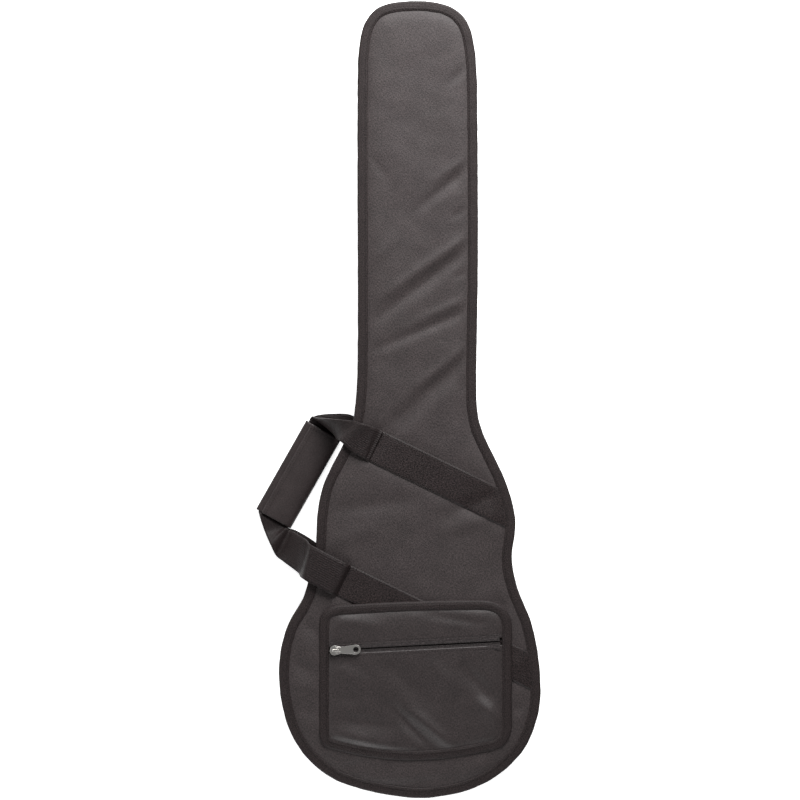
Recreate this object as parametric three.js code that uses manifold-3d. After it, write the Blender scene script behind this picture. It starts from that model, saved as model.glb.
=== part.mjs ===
// Padded gig bag for a solid-body electric guitar, lying on its back with the carry handle
// laid out on the floor at its left. Millimetres: +X to the bag's right seen from the front,
// +Y towards the headstock end, +Z up from the floor. The origin is on the outer face of the
// back panel, on the widest line of the lower bout.
//
// The bag is two padded panels (cover, foam, lining) and a gusset between them. A bound seam
// stands out round each panel like a flange. The gusset is one plain strip along the spine,
// on the right, and two narrow strips with a long zip between them everywhere else, so the
// front panel opens like a page about the straight fold that joins the two ends of the zip.
import * as THREE from "three";
import Module from "manifold-3d";
import { mergeVertices } from "three/addons/utils/BufferGeometryUtils.js";

const wasm = await Module();
wasm.setup();

// ---- driving dimensions ----------------------------------------------------------------
const HEIGHT = 60; // floor to the face of the front binding tape
const GAP = 0.3; // between pieces that touch
const FOLD_X = 124; // the front panel folds along this line as it opens
const FOLD_CLEAR = 0.3; // each side of the fold

const BINDING_FACE = 12.5; // binding tape seen from outside the bag
const BINDING_BACK = 8.2; // binding tape under the flange
const BINDING_T = 1.0;
const COVER_T = 1.5; // nylon cover at the seam
const GUSSET_T = 1.2;
const GUSSET_INSET = 8.5; // how far the gusset stands inside the flange's edge
const FLANGE_T = 0.8; // gusset cloth in the seam
const FOAM_T = 5;
const ZIP_TAPE_ROOM = 1.4;
const LINING_T = 0.8;

const FOAM_INSET = GUSSET_INSET + GUSSET_T + GAP + ZIP_TAPE_ROOM; // foam and lining lie inside the zip tape

const ZIP_WINDOW = 16; // between the two gusset strips
const ZIP_TAPE_T = 0.8;
const COIL_W = 2.2;
const COIL_T = 1.6;
const COIL_SPLIT = 1.6; // between the two coils, where the slider's post runs

const WEB_W = 46;
const WEB_T = 1.8;

const POCKET_DEPTH = 6;
const POCKET_T = 1.0;
const POCKET_BINDING = 12;
const POCKET_WALL_INSET = 12.5;

// ---- heights that follow from them, for the back panel; the front is its mirror image ----
const coverSeam = BINDING_T + GAP; // the cover's edge lies between the tape's two sides
const coverTop = coverSeam + COVER_T;
const flangeLow = coverTop + GAP;
const flangeTop = flangeLow + FLANGE_T;
const bindingTop = flangeTop + GAP + BINDING_T;
const foamLow = coverTop + GAP;
const liningLow = foamLow + FOAM_T + GAP;
const stripTop = (HEIGHT - ZIP_WINDOW) / 2;
const tapeTop = (HEIGHT - COIL_SPLIT) / 2 - 0.4;
const coilTop = (HEIGHT - COIL_SPLIT) / 2;
const webMid = WEB_T / 2;
const frontWeb = HEIGHT + GAP + WEB_T / 2; // mid-thickness of webbing sewn on the front
const pocketLow = frontWeb + WEB_T / 2 + GAP;
const pocketTop = pocketLow + POCKET_DEPTH;

// ---- finishes ----------------------------------------------------------------------------
const finish = (color, roughness, metalness = 0) =>
  new THREE.MeshStandardMaterial({ color, roughness, metalness });
const nylon = finish(0x4a4546, 0.8);
const binding = finish(0x35302f, 0.85);
const webbing = finish(0x2f2b2a, 0.75);
const foam = finish(0x9a9a98, 0.95);
const lining = finish(0x232122, 0.85);
const zipTape = finish(0x262324, 0.85);
const coilNylon = finish(0x1c1a1b, 0.5);
const hookLoop = finish(0x1d1b1c, 0.95);
const nickel = finish(0xc9c6c2, 0.3, 1);

// ---- solids ------------------------------------------------------------------------------
function solidOf(geometry) {
  const bare = geometry.clone();
  bare.deleteAttribute("normal");
  bare.deleteAttribute("uv");
  const merged = mergeVertices(bare, 1e-4);
  return new wasm.Manifold(
    new wasm.Mesh({
      numProp: 3,
      vertProperties: merged.attributes.position.array,
      triVerts: new Uint32Array(merged.index.array),
    }),
  );
}

function geometryOf(solid) {
  const mesh = solid.simplify(0.01).getMesh();
  const geometry = new THREE.BufferGeometry();
  geometry.setAttribute("position", new THREE.BufferAttribute(new Float32Array(mesh.vertProperties), 3));
  geometry.setIndex(new THREE.BufferAttribute(new Uint32Array(mesh.triVerts), 1));
  return geometry;
}

const joined = (...solids) => solids.reduce((a, b) => a.add(b));

function prism(shape, low, high) {
  const geometry = new THREE.ExtrudeGeometry(shape, { depth: 1, bevelEnabled: false, curveSegments: 6 });
  // Both ends lie exactly at their heights, so that prisms with a height in common join cleanly.
  const position = geometry.attributes.position;
  for (let i = 0; i < position.count; i++) position.setZ(i, position.getZ(i) > 0.5 ? high : low);
  return solidOf(geometry);
}

function box(x0, x1, y0, y1, z0, z1) {
  const geometry = new THREE.BoxGeometry(x1 - x0, y1 - y0, z1 - z0);
  return solidOf(geometry.translate((x0 + x1) / 2, (y0 + y1) / 2, (z0 + z1) / 2));
}

function cylinder(radius, low, high, x, y) {
  const geometry = new THREE.CylinderGeometry(radius, radius, high - low, 20);
  return solidOf(geometry.rotateX(Math.PI / 2).translate(x, y, (low + high) / 2));
}

function mesh(name, material, solid) {
  const made = new THREE.Mesh(solid.isBufferGeometry ? solid : geometryOf(solid), material);
  made.name = name;
  return made;
}

// ---- the bag's outline -------------------------------------------------------------------
// Stations round the flange's edge, anticlockwise from the bottom end of the zip. The first
// SPINE_SPANS spans are the spine, up to the top end of the zip.
const SPINE_SPANS = 8;
const STATIONS = [
  [FOLD_X, -110], [153, -78], [170, -32], [172, 18], [161, 84], [140, 138], [134.4, 172], [139, 224],
  [FOLD_X, 280], [101, 327], [90, 358], [87, 390], [88, 470], [89, 560], [88, 700], [88, 790],
  [85, 850], [75, 888], [56, 907], [28, 915], [3, 916], [-24, 914], [-46, 906], [-62, 886],
  [-69, 855], [-71, 800], [-71, 740], [-71, 640], [-71, 540], [-71, 440], [-73, 388], [-79, 350],
  [-98, 308], [-117, 270], [-125, 228], [-127, 188], [-145, 117], [-164, 84], [-175, 40], [-174, -10],
  [-162, -56], [-139, -93], [-104, -121], [-62, -136], [-22, -144], [12, -147], [50, -143], [88, -132],
];
const SAMPLES_PER_SPAN = 6;
const FLATNESS = 0.7; // how far a chord of the outline may stand off its curve

const outlineCurve = new THREE.CatmullRomCurve3(
  STATIONS.map(([x, y]) => new THREE.Vector3(x, y, 0)),
  true,
  "centripetal",
);

// A point of the outline and the way into the bag from it.
function outlinePoint(t) {
  const point = outlineCurve.getPoint(t % 1);
  const along = outlineCurve.getTangent(t % 1);
  return { point, inward: new THREE.Vector3(-along.y, along.x, 0) };
}

// Drops the samples that lie within FLATNESS of the chord between the ones kept.
function thinned(samples) {
  if (samples.length < 3) return samples;
  const first = samples[0].point;
  const last = samples.at(-1).point;
  const chord = new THREE.Line3(first, last);
  const foot = new THREE.Vector3();
  const away = samples.map(({ point }) => chord.closestPointToPoint(point, true, foot).distanceTo(point));
  const furthest = away.indexOf(Math.max(...away));
  if (away[furthest] < FLATNESS) return [samples[0], samples.at(-1)];
  return [...thinned(samples.slice(0, furthest + 1)).slice(0, -1), ...thinned(samples.slice(furthest))];
}

function stretch(firstStation, lastStation) {
  const samples = [];
  for (let i = firstStation * SAMPLES_PER_SPAN; i <= lastStation * SAMPLES_PER_SPAN; i++)
    samples.push(outlinePoint(i / (STATIONS.length * SAMPLES_PER_SPAN)));
  return thinned(samples);
}

const spine = stretch(0, SPINE_SPANS);
const zipRun = stretch(SPINE_SPANS, STATIONS.length);
const wholeRim = [...spine.slice(0, -1), ...zipRun.slice(0, -1)];

const TRIM = 0.35; // off each end of a piece that meets another along the rim
function shortened(samples) {
  const nudge = (end, next) => {
    const step = next.point.clone().sub(end.point).setLength(TRIM);
    return { point: end.point.clone().add(step), inward: end.inward };
  };
  return [
    nudge(samples[0], samples[1]),
    ...samples.slice(1, -1),
    nudge(samples.at(-1), samples.at(-2)),
  ];
}
const zipSide = shortened(zipRun);
const spineRim = shortened(spine);
// The zip's side of the gusset is pieced from three lengths of cloth, butted together.
function nearestTo([x, y]) {
  const away = zipRun.map(({ point }) => Math.hypot(point.x - x, point.y - y));
  return away.indexOf(Math.min(...away));
}
const END_FROM = nearestTo([88, 790]);
const END_TO = nearestTo([-71, 740]);
const LENGTHS = {
  right: shortened(zipRun.slice(0, END_FROM + 1)),
  end: shortened(zipRun.slice(END_FROM, END_TO + 1)),
  left: shortened(zipRun.slice(END_TO)),
};

const moved = (samples, inset) =>
  samples.map(({ point, inward }) => {
    const there = point.clone().addScaledVector(inward, inset);
    return new THREE.Vector2(there.x, there.y);
  });

// Heights are given for the back panel, from the floor up; the front panel is its mirror image.
const BACK = (low, high) => [low, high];
const FRONT = (low, high) => [HEIGHT - high, HEIGHT - low];

const plate = (side, inset, low, high) =>
  prism(new THREE.Shape(moved(wholeRim, inset)), ...side(low, high));
const ring = (side, outer, inner, low, high) =>
  plate(side, outer, low, high).subtract(plate(side, inner, low - 1, high + 1));

// A strip along part of the rim, between two insets.
function strip(side, samples, outer, inner, low, high) {
  const far = moved(samples, inner).reverse();
  return prism(new THREE.Shape([...moved(samples, outer), ...far]), ...side(low, high));
}

// The spine's side of the fold: everything past FOLD_X, and the bound seam at the waist.
const SEAM_REACH = BINDING_FACE + 2 * GAP;
function spineSide(clear) {
  const past = box(FOLD_X + clear, 400, -400, 400, -50, 150);
  const reach = clear < 0 ? SEAM_REACH + 2 * GAP : SEAM_REACH;
  const rim = clear < 0 ? spine : spineRim;
  return past.add(strip(BACK, rim, -20, reach, -50, 150));
}
const onSpine = (solid) => solid.intersect(spineSide(FOLD_CLEAR));
const onPanel = (solid) => solid.subtract(spineSide(-FOLD_CLEAR));

// ---- webbing routes ----------------------------------------------------------------------
// Both straps run sewn across their panel, parallel and falling to the right, and come free at
// the left to make the carry loop. A station gives the strap's inner edge, nearer the bag in
// the loop, and its outer edge.
const RUN_FALL = 0.4856; // fall per millimetre to the right
const ACROSS_RUN = [0.4368, 0.8996];
const onUpperRun = (x) => [x, 280.7 - RUN_FALL * (x - 38.7)];
const onLowerRun = (x) => [x, 80.9 - RUN_FALL * (x - 38.7)];
const UPPER_SEAM = onUpperRun(118); // right-hand ends of the sewn runs
const LOWER_SEAM = onLowerRun(157);
const UPPER_TACK = onUpperRun(-47); // where the front strap comes free for the handle
const LOWER_TACK = onLowerRun(-90.5);

const WRAP_TOP = [-119.2, 343.6]; // the two straps lie together between these in the wrap
const WRAP_END = [-187.5, 223.2];
const ACROSS_WRAP = [-0.87, 0.493];
const FRONT_LEVEL = 5.6; // mid-thickness in the wrap
const BACK_LEVEL = 3.4;

const alongWrap = (t) => [0, 1].map((k) => WRAP_TOP[k] + (WRAP_END[k] - WRAP_TOP[k]) * t);

// A station square across a straight stretch.
function square([x, y], z, [ax, ay], sign = 1) {
  const [dx, dy] = [(sign * ax * WEB_W) / 2, (sign * ay * WEB_W) / 2];
  return { inner: [x - dx, y - dy, z], outer: [x + dx, y + dy, z] };
}
const edges = (ix, iy, iz, ox, oy, oz) => ({ inner: [ix, iy, iz], outer: [ox, oy, oz] });

const frontLoop = [
  square(UPPER_SEAM, frontWeb, ACROSS_RUN),
  square(UPPER_TACK, frontWeb, ACROSS_RUN),
  edges(-70, 309, 62.2, -51, 348, 66),
  edges(-84, 319, 63.4, -66, 352, 74),
  edges(-95, 331, 60, -84, 356, 66),
  edges(-98, 336, 40, -102, 361, 48),
  edges(-99, 340, 18, -119, 363, 24),
  edges(-99.5, 337, 8, -133, 362, 10),
  square(alongWrap(0.01), FRONT_LEVEL, ACROSS_WRAP),
  square(alongWrap(0.1), FRONT_LEVEL, ACROSS_WRAP),
  square(alongWrap(0.9), FRONT_LEVEL, ACROSS_WRAP),
  square(alongWrap(0.99), FRONT_LEVEL, ACROSS_WRAP),
  edges(-168, 209, 7, -206, 222, 8),
  edges(-168, 208.5, 11, -194, 196, 13),
  edges(-161, 206, 17, -182, 172, 19),
  edges(-139, 194.5, 30, -149, 149.5, 30),
  edges(-133.5, 191.5, 57, -145, 146, 57),
  edges(-124, 186.5, 66, -136, 141, 66),
  edges(-112, 179.5, 68, -124.5, 134, 68),
  edges(-97, 171.5, 65, -110, 126, 65),
  square(LOWER_TACK, frontWeb + 0.2, ACROSS_RUN, -1),
  square(onLowerRun(-60), frontWeb + 0.2, ACROSS_RUN, -1),
];
const backLoop = [
  square(UPPER_SEAM, webMid, ACROSS_RUN),
  square(onUpperRun(-60), webMid, ACROSS_RUN),
  square(onUpperRun(-74), webMid, ACROSS_RUN),
  edges(-92, 328, 1.3, -85, 367, 1.3),
  edges(-97, 338, 2.8, -106, 370, 2.8),
  edges(-99.5, 337, BACK_LEVEL, -131, 364, BACK_LEVEL),
  square(alongWrap(0.01), BACK_LEVEL, ACROSS_WRAP),
  square(alongWrap(0.1), BACK_LEVEL, ACROSS_WRAP),
  square(alongWrap(0.9), BACK_LEVEL, ACROSS_WRAP),
  square(alongWrap(0.99), BACK_LEVEL, ACROSS_WRAP),
  edges(-167, 208, BACK_LEVEL, -202, 210, BACK_LEVEL),
  edges(-161, 206, 3, -183, 171, 3),
  square(onLowerRun(-147), 1.6, ACROSS_RUN, -1),
  square(onLowerRun(-120), webMid, ACROSS_RUN, -1),
  square(onLowerRun(-100), webMid, ACROSS_RUN, -1),
  square(LOWER_SEAM, webMid, ACROSS_RUN, -1),
];

// Webbing between two stations of a route, laid in the given number of steps.
function web(route, from, to, steps) {
  const curveOf = (key) =>
    new THREE.CatmullRomCurve3(route.map((s) => new THREE.Vector3(...s[key])), false, "centripetal");
  const inners = curveOf("inner");
  const outers = curveOf("outer");
  const vertices = [];
  const faces = [];
  for (let i = 0; i <= steps; i++) {
    const t = (from + ((to - from) * i) / steps) / (route.length - 1);
    const inner = inners.getPoint(t);
    const outer = outers.getPoint(t);
    const along = inners.getTangent(t).add(outers.getTangent(t));
    inner.z = Math.max(inner.z, webMid);
    outer.z = Math.max(outer.z, webMid);
    const out = outer.clone().sub(inner);
    const up = new THREE.Vector3().crossVectors(along, out).setLength(WEB_T / 2);
    for (const [edge, sign] of [[outer, 1], [inner, 1], [inner, -1], [outer, -1]])
      vertices.push(...edge.clone().addScaledVector(up, sign).toArray());
    if (i === 0) continue;
    for (let k = 0; k < 4; k++) {
      const [a, b] = [4 * (i - 1) + k, 4 * (i - 1) + ((k + 1) % 4)];
      faces.push(a, b, a + 4, b, b + 4, a + 4);
    }
  }
  const end = 4 * steps;
  faces.push(0, 2, 1, 0, 3, 2, end, end + 1, end + 2, end, end + 2, end + 3);
  const geometry = new THREE.BufferGeometry();
  geometry.setAttribute("position", new THREE.BufferAttribute(new Float32Array(vertices), 3));
  geometry.setIndex(faces);
  return solidOf(geometry);
}

// A straight bar of webbing's width between two points of the floor plan.
function bar([x0, y0], [x1, y1], width, low, high) {
  const length = Math.hypot(x1 - x0, y1 - y0);
  const geometry = new THREE.BoxGeometry(length, width, high - low);
  geometry.rotateZ(Math.atan2(y1 - y0, x1 - x0));
  return solidOf(geometry.translate((x0 + x1) / 2, (y0 + y1) / 2, (low + high) / 2));
}

// ---- panels ------------------------------------------------------------------------------
const bindingSolid = (side) =>
  joined(
    ring(side, 0, BINDING_FACE, 0, BINDING_T),
    ring(side, 0, BINDING_T, 0, bindingTop),
    ring(side, 0, BINDING_BACK, bindingTop - BINDING_T, bindingTop),
  );
const coverSolid = (side) =>
  plate(side, BINDING_T + GAP, coverSeam, coverTop).add(plate(side, BINDING_FACE + GAP, 0, coverTop));
const foamSolid = (side) => plate(side, FOAM_INSET, foamLow, foamLow + FOAM_T);
const liningSolid = (side) => plate(side, FOAM_INSET, liningLow, liningLow + LINING_T);

const gussetFlange = (side, rim) =>
  strip(side, rim, BINDING_T + GAP, GUSSET_INSET + GUSSET_T, flangeLow, flangeTop);
const gussetStrip = (side, rim) =>
  strip(side, rim, GUSSET_INSET, GUSSET_INSET + GUSSET_T, flangeLow, stripTop).add(
    gussetFlange(side, rim),
  );
const spineGussetSolid = () =>
  joined(
    strip(BACK, spineRim, GUSSET_INSET, GUSSET_INSET + GUSSET_T, flangeLow, HEIGHT - flangeLow),
    gussetFlange(BACK, spineRim),
    gussetFlange(FRONT, spineRim),
  );

// Zip tape behind the gusset strip, and the coil on its outer face.
const TAPE_INSET = GUSSET_INSET + GUSSET_T + GAP;
const TAPE_LOW = stripTop - 6;
const zipTapeSolid = (side, rim) =>
  strip(side, rim, TAPE_INSET, TAPE_INSET + ZIP_TAPE_T, TAPE_LOW, tapeTop);
const zipCoilSolid = (side) =>
  strip(side, zipSide, TAPE_INSET - GAP - COIL_T, TAPE_INSET - GAP, coilTop - COIL_W, coilTop);

// ---- sliders -----------------------------------------------------------------------------
// Drawn with the tape in the XY plane, the tape's outer face at z = 0 and travel along X.
const SLIDER_L = 16;
const SLIDER_W = 13;
const PLATE_T = 1.2;
const PULL_T = 1.4;
const PULL_L = 33;
const sliderLow = -ZIP_TAPE_T - GAP - PLATE_T;
const sliderTop = GAP + COIL_T + GAP; // underside of the outer plate
const pullLow = sliderTop + PLATE_T + 0.4;

function sliderShape() {
  // Shield outline: broad at the nose, where the two coils part, and narrower behind.
  const shape = new THREE.Shape();
  const tail = SLIDER_L / 2;
  shape.moveTo(tail, SLIDER_W * 0.3);
  shape.lineTo(-tail * 0.2, SLIDER_W / 2);
  shape.quadraticCurveTo(-tail, SLIDER_W / 2, -tail, 0);
  shape.quadraticCurveTo(-tail, -SLIDER_W / 2, -tail * 0.2, -SLIDER_W / 2);
  shape.lineTo(tail, -SLIDER_W * 0.3);
  return shape;
}

function sliderSolid() {
  const outline = sliderShape();
  const post = box(-6.4, -3.4, -0.5, 0.5, sliderLow, sliderTop + PLATE_T);
  const crownTop = pullLow + PULL_T + 1.7;
  const crown = box(-4.4, 4.4, -1.3, 1.3, sliderTop, crownTop).subtract(
    box(-3.2, 3.2, -3, 3, sliderTop + PLATE_T, crownTop - 1.1),
  );
  return joined(
    prism(outline, sliderTop, sliderTop + PLATE_T),
    prism(outline, sliderLow, sliderLow + PLATE_T),
    post,
    crown,
  );
}

// The pull lies back from its hinge bar, which turns inside the crown at x = 0.
function pullSolid() {
  const end = PULL_L - 6.5;
  const shape = new THREE.Shape();
  shape.moveTo(-0.7, 4);
  shape.lineTo(6, 4.2);
  shape.lineTo(end, 6.5);
  shape.absarc(end, 0, 6.5, Math.PI / 2, -Math.PI / 2, true);
  shape.lineTo(6, -4.2);
  shape.lineTo(-0.7, -4);
  return prism(shape, pullLow, pullLow + PULL_T)
    .subtract(box(0.8, 6.2, -2.2, 2.2, 0, 20))
    .subtract(cylinder(3.7, 0, 20, end, 0));
}

// ---- pocket ------------------------------------------------------------------------------
function pocketShape() {
  const shape = new THREE.Shape();
  shape.moveTo(-122, -62);
  shape.lineTo(-122, 86);
  shape.quadraticCurveTo(-121, 107, -98, 110);
  shape.quadraticCurveTo(0, 117, 96, 117);
  shape.quadraticCurveTo(131, 115, 134, 84);
  shape.lineTo(134, -52);
  shape.quadraticCurveTo(133, -73, 116, -80);
  shape.quadraticCurveTo(0, -112, -108, -80);
  shape.quadraticCurveTo(-121, -77, -122, -62);
  return shape;
}

function insetPocket(distance) {
  const points = pocketShape().getPoints(6).slice(0, -1);
  const count = points.length;
  return new THREE.Shape(
    points.map((point, i) => {
      const along = points[(i + 1) % count].clone().sub(points[(i + count - 1) % count]).normalize();
      const inward = new THREE.Vector2(along.y, -along.x);
      return point.clone().addScaledVector(inward, distance);
    }),
  );
}
const pocketPrism = (inset, low, high) => prism(insetPocket(inset), low, high);

// The zip rises a little to the right across the pocket.
const ZIP_LEFT = [-112, 50.5];
const ZIP_RIGHT = [117, 62.5];
const zipAngle = Math.atan2(ZIP_RIGHT[1] - ZIP_LEFT[1], ZIP_RIGHT[0] - ZIP_LEFT[0]);
const zipLength = Math.hypot(ZIP_RIGHT[0] - ZIP_LEFT[0], ZIP_RIGHT[1] - ZIP_LEFT[1]);
const POCKET_ZIP_WINDOW = 12;
const POCKET_TAPE_W = 11;

// A bar along the pocket zip, between two distances to its left-hand (upper) side.
function besideZip(low, high, z0, z1, from = 0, to = zipLength) {
  const geometry = new THREE.BoxGeometry(to - from, high - low, z1 - z0);
  geometry.translate((from + to) / 2, (low + high) / 2, (z0 + z1) / 2);
  return solidOf(geometry.rotateZ(zipAngle).translate(...ZIP_LEFT, 0));
}

function pocketTray() {
  const rim = pocketPrism(BINDING_T + GAP, pocketLow, pocketLow + FLANGE_T);
  const outside = pocketPrism(POCKET_WALL_INSET, pocketLow, pocketTop);
  const hollow = pocketPrism(POCKET_WALL_INSET + POCKET_T, pocketLow - 1, pocketTop - POCKET_T);
  return rim.add(outside).subtract(hollow);
}
const half = POCKET_ZIP_WINDOW / 2;
const FAR = 400;
const aboveZip = () => besideZip(half, FAR, -50, 150, -FAR, FAR * 2);
const belowZip = () => besideZip(-FAR, -half, -50, 150, -FAR, FAR * 2);
function pocketBindingSolid() {
  const ring = pocketPrism(0, pocketLow, pocketLow + FLANGE_T + GAP + BINDING_T).subtract(
    pocketPrism(POCKET_BINDING, 0, 150),
  );
  return ring.subtract(pocketPrism(BINDING_T, 0, pocketLow + FLANGE_T + GAP));
}

// ---- handle wrap -------------------------------------------------------------------------
// Drawn with its length along Y and its middle at the origin, on the floor.
const WRAP_L = 138;
const WRAP_W = 52;
const WRAP_T = 2.0;
const wrapEdge = WRAP_W / 2;
const tabLow = FRONT_LEVEL + WEB_T / 2 + 0.5;
const TAB_REACH = 26;
const TAB_T = 1.2;
const PATCH_T = 0.8;
const loopLow = tabLow + TAB_T + GAP;
const hookLow = loopLow + PATCH_T + GAP;
const flapLow = hookLow + PATCH_T + GAP;
const FLAP_SHORT = 9; // the flap stops this far from the far edge
const FLAP_T = 2.2;
const halfWrap = WRAP_L / 2;

const wrapBaseSolid = () =>
  joined(
    box(-wrapEdge, wrapEdge, -halfWrap, halfWrap, 0, WRAP_T),
    box(wrapEdge - 1.4, wrapEdge, -halfWrap, halfWrap, 0, tabLow - GAP),
  );
const wrapTabSolid = () =>
  joined(
    box(-wrapEdge, -wrapEdge + 1.4, -halfWrap, halfWrap, WRAP_T + GAP, tabLow + TAB_T),
    box(-wrapEdge, -wrapEdge + TAB_REACH, -halfWrap, halfWrap, tabLow, tabLow + TAB_T),
  );
const wrapFlapSolid = () =>
  joined(
    box(-wrapEdge + FLAP_SHORT, wrapEdge, -halfWrap, halfWrap, flapLow, flapLow + FLAP_T),
    box(wrapEdge - 1.4, wrapEdge, -halfWrap, halfWrap, tabLow, flapLow + FLAP_T),
  );
const patch = (low) => box(-wrapEdge + FLAP_SHORT + 1, -2, -halfWrap + 6, halfWrap - 6, low, low + PATCH_T);

// ---- assembly ----------------------------------------------------------------------------
const bag = new THREE.Group();

// The floor plan to the left of a line from a down to b, less a clearance.
function leftOf([ax, ay], [bx, by], clear) {
  const geometry = new THREE.BoxGeometry(600, 1200, 400);
  geometry.translate(-300 - clear, 0, 0).rotateZ(-Math.atan2(ax - bx, ay - by));
  return solidOf(geometry.translate((ax + bx) / 2, (ay + by) / 2, 30));
}

const LOOSE_TOP = [-87.1, 349]; // the back loop lifts about this line, just off the bag's edge
const LOOSE_BOTTOM = [-131.9, 173];
const frontLoose = (clear) => leftOf(UPPER_TACK, LOWER_TACK, clear);
const backLoose = (clear) => leftOf(LOOSE_TOP, LOOSE_BOTTOM, clear);

function backPanel() {
  // The straps are sewn down into the padding, so they lie level with the bag's back.
  const bed = (from, to) => bar(from, to, WEB_W + 3, -1, WEB_T + 2 * GAP);
  const upperBed = bed(onUpperRun(-120), onUpperRun(119));
  const lowerBed = bed(onLowerRun(-180), onLowerRun(158));
  const sink = (solid) => solid.subtract(upperBed).subtract(lowerBed);
  bag.add(
    mesh("back_cover", nylon, sink(coverSolid(BACK))),
    mesh("back_foam", foam, foamSolid(BACK)),
    mesh("back_lining", lining, liningSolid(BACK)),
    mesh("back_binding", binding, sink(bindingSolid(BACK))),
    mesh("back_zip_coil", coilNylon, zipCoilSolid(BACK)),
  );
}

function frontPanel() {
  bag.add(
    mesh("front_cover", nylon, onPanel(coverSolid(FRONT))),
    mesh("front_foam", foam, onPanel(foamSolid(FRONT))),
    mesh("front_lining", lining, onPanel(liningSolid(FRONT))),
    mesh("front_binding", binding, onPanel(bindingSolid(FRONT))),
    mesh("front_zip_coil", coilNylon, zipCoilSolid(FRONT)),
  );
}

function zipGusset() {
  for (const [name, rim] of Object.entries(LENGTHS))
    bag.add(
      mesh(`back_gusset_${name}`, nylon, gussetStrip(BACK, rim)),
      mesh(`front_gusset_${name}`, nylon, gussetStrip(FRONT, rim)),
      mesh(`back_zip_tape_${name}`, zipTape, zipTapeSolid(BACK, rim)),
      mesh(`front_zip_tape_${name}`, zipTape, zipTapeSolid(FRONT, rim)),
    );
}

function spineSidePieces() {
  bag.add(
    mesh("spine_gusset", nylon, spineGussetSolid()),
    mesh("spine_cover", nylon, onSpine(coverSolid(FRONT))),
    mesh("spine_foam", foam, onSpine(foamSolid(FRONT))),
    mesh("spine_lining", lining, onSpine(liningSolid(FRONT))),
    mesh("spine_binding", binding, onSpine(bindingSolid(FRONT))),
  );
}

function straps() {
  const [low, high] = [frontWeb - WEB_T / 2, frontWeb + WEB_T / 2];
  const upper = bar(onUpperRun(-70), UPPER_SEAM, WEB_W, low, high);
  const lower = bar(onLowerRun(-120), LOWER_SEAM, WEB_W, low, high);
  const loose = web(frontLoop, 0, 21, 63);
  const backRun = (from, to) => bar(from, to, WEB_W, 0, WEB_T).subtract(backLoose(-GAP));
  bag.add(
    mesh("front_webbing_upper", webbing, onPanel(upper).subtract(frontLoose(-GAP))),
    mesh("front_webbing_lower", webbing, onPanel(lower).subtract(frontLoose(-GAP))),
    mesh("spine_webbing", webbing, onSpine(lower)),
    mesh("front_handle", webbing, loose.intersect(frontLoose(GAP))),
    mesh("back_webbing_upper", webbing, backRun(onUpperRun(-120), UPPER_SEAM)),
    mesh("back_webbing_lower", webbing, backRun(onLowerRun(-160), LOWER_SEAM)),
    mesh("back_handle", webbing, web(backLoop, 0, 16, 64).intersect(backLoose(GAP))),
  );
}

function pocket() {
  const tray = pocketTray();
  const edge = pocketBindingSolid();
  const past = box(FOLD_X - FOLD_CLEAR, 400, -400, 400, -50, 150);
  const spinePart = box(FOLD_X + FOLD_CLEAR, 400, -400, 400, -50, 150);
  const panelPart = tray.subtract(past);
  const [tapeLow, coilLow] = [pocketTop - POCKET_T - GAP - ZIP_TAPE_T, pocketTop - POCKET_T];
  const tape = (from, to) => besideZip(from, to, tapeLow, tapeLow + ZIP_TAPE_T, 4.6, zipLength + 2);
  const coil = (from, to) => besideZip(from, to, coilLow, coilLow + COIL_T, 4.6, zipLength + 1);
  const split = COIL_SPLIT / 2;
  bag.add(
    mesh("pocket_upper_panel", nylon, panelPart.intersect(aboveZip())),
    mesh("pocket_lower_panel", nylon, panelPart.intersect(belowZip())),
    mesh("pocket_binding", binding, edge.subtract(past)),
    mesh("spine_pocket_cloth", nylon, tray.intersect(spinePart)),
    mesh("spine_pocket_binding", binding, edge.intersect(spinePart)),
    mesh("pocket_tape_upper", zipTape, tape(split + 0.1, POCKET_TAPE_W)),
    mesh("pocket_tape_lower", zipTape, tape(-POCKET_TAPE_W, -split - 0.1)),
    mesh("pocket_coil_upper", coilNylon, coil(split, split + COIL_W)),
    mesh("pocket_coil_lower", coilNylon, coil(-split - COIL_W, -split)),
  );
  return tapeLow + ZIP_TAPE_T;
}

// A slider and its pull at the top of a stretch of zip, placed by one group.
function zipSlider(sliderName, pullName, place) {
  const group = new THREE.Group();
  group.add(mesh(sliderName, nickel, sliderSolid()), mesh(pullName, nickel, pullSolid()));
  place(group);
  bag.add(group);
}

const NECK_LEFT = -71; // the flange's edge along the straight left side of the neck
const PARKED_Y = 597;
const POCKET_SLIDER_AT = 12.3; // from the left-hand end of the pocket's zip
function sliders(pocketTape) {
  zipSlider("pocket_slider", "pocket_pull", (group) => {
    const along = new THREE.Vector2(Math.cos(zipAngle), Math.sin(zipAngle));
    group.position.set(
      ZIP_LEFT[0] + along.x * POCKET_SLIDER_AT,
      ZIP_LEFT[1] + along.y * POCKET_SLIDER_AT,
      pocketTape,
    );
    group.rotation.z = zipAngle;
  });
  // The two main sliders are parked nose to nose on the left of the neck.
  const onNeck = (y, towards) => (group) => {
    const along = new THREE.Vector3(0, towards, 0);
    const out = new THREE.Vector3(-1, 0, 0);
    const basis = new THREE.Matrix4().makeBasis(along, out.clone().cross(along), out);
    group.quaternion.setFromRotationMatrix(basis);
    group.position.set(NECK_LEFT + TAPE_INSET, y, HEIGHT / 2);
  };
  zipSlider("zip_slider_upper", "zip_pull_upper", onNeck(PARKED_Y + 9, 1));
  zipSlider("zip_slider_lower", "zip_pull_lower", onNeck(PARKED_Y - 9, -1));
}

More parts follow.
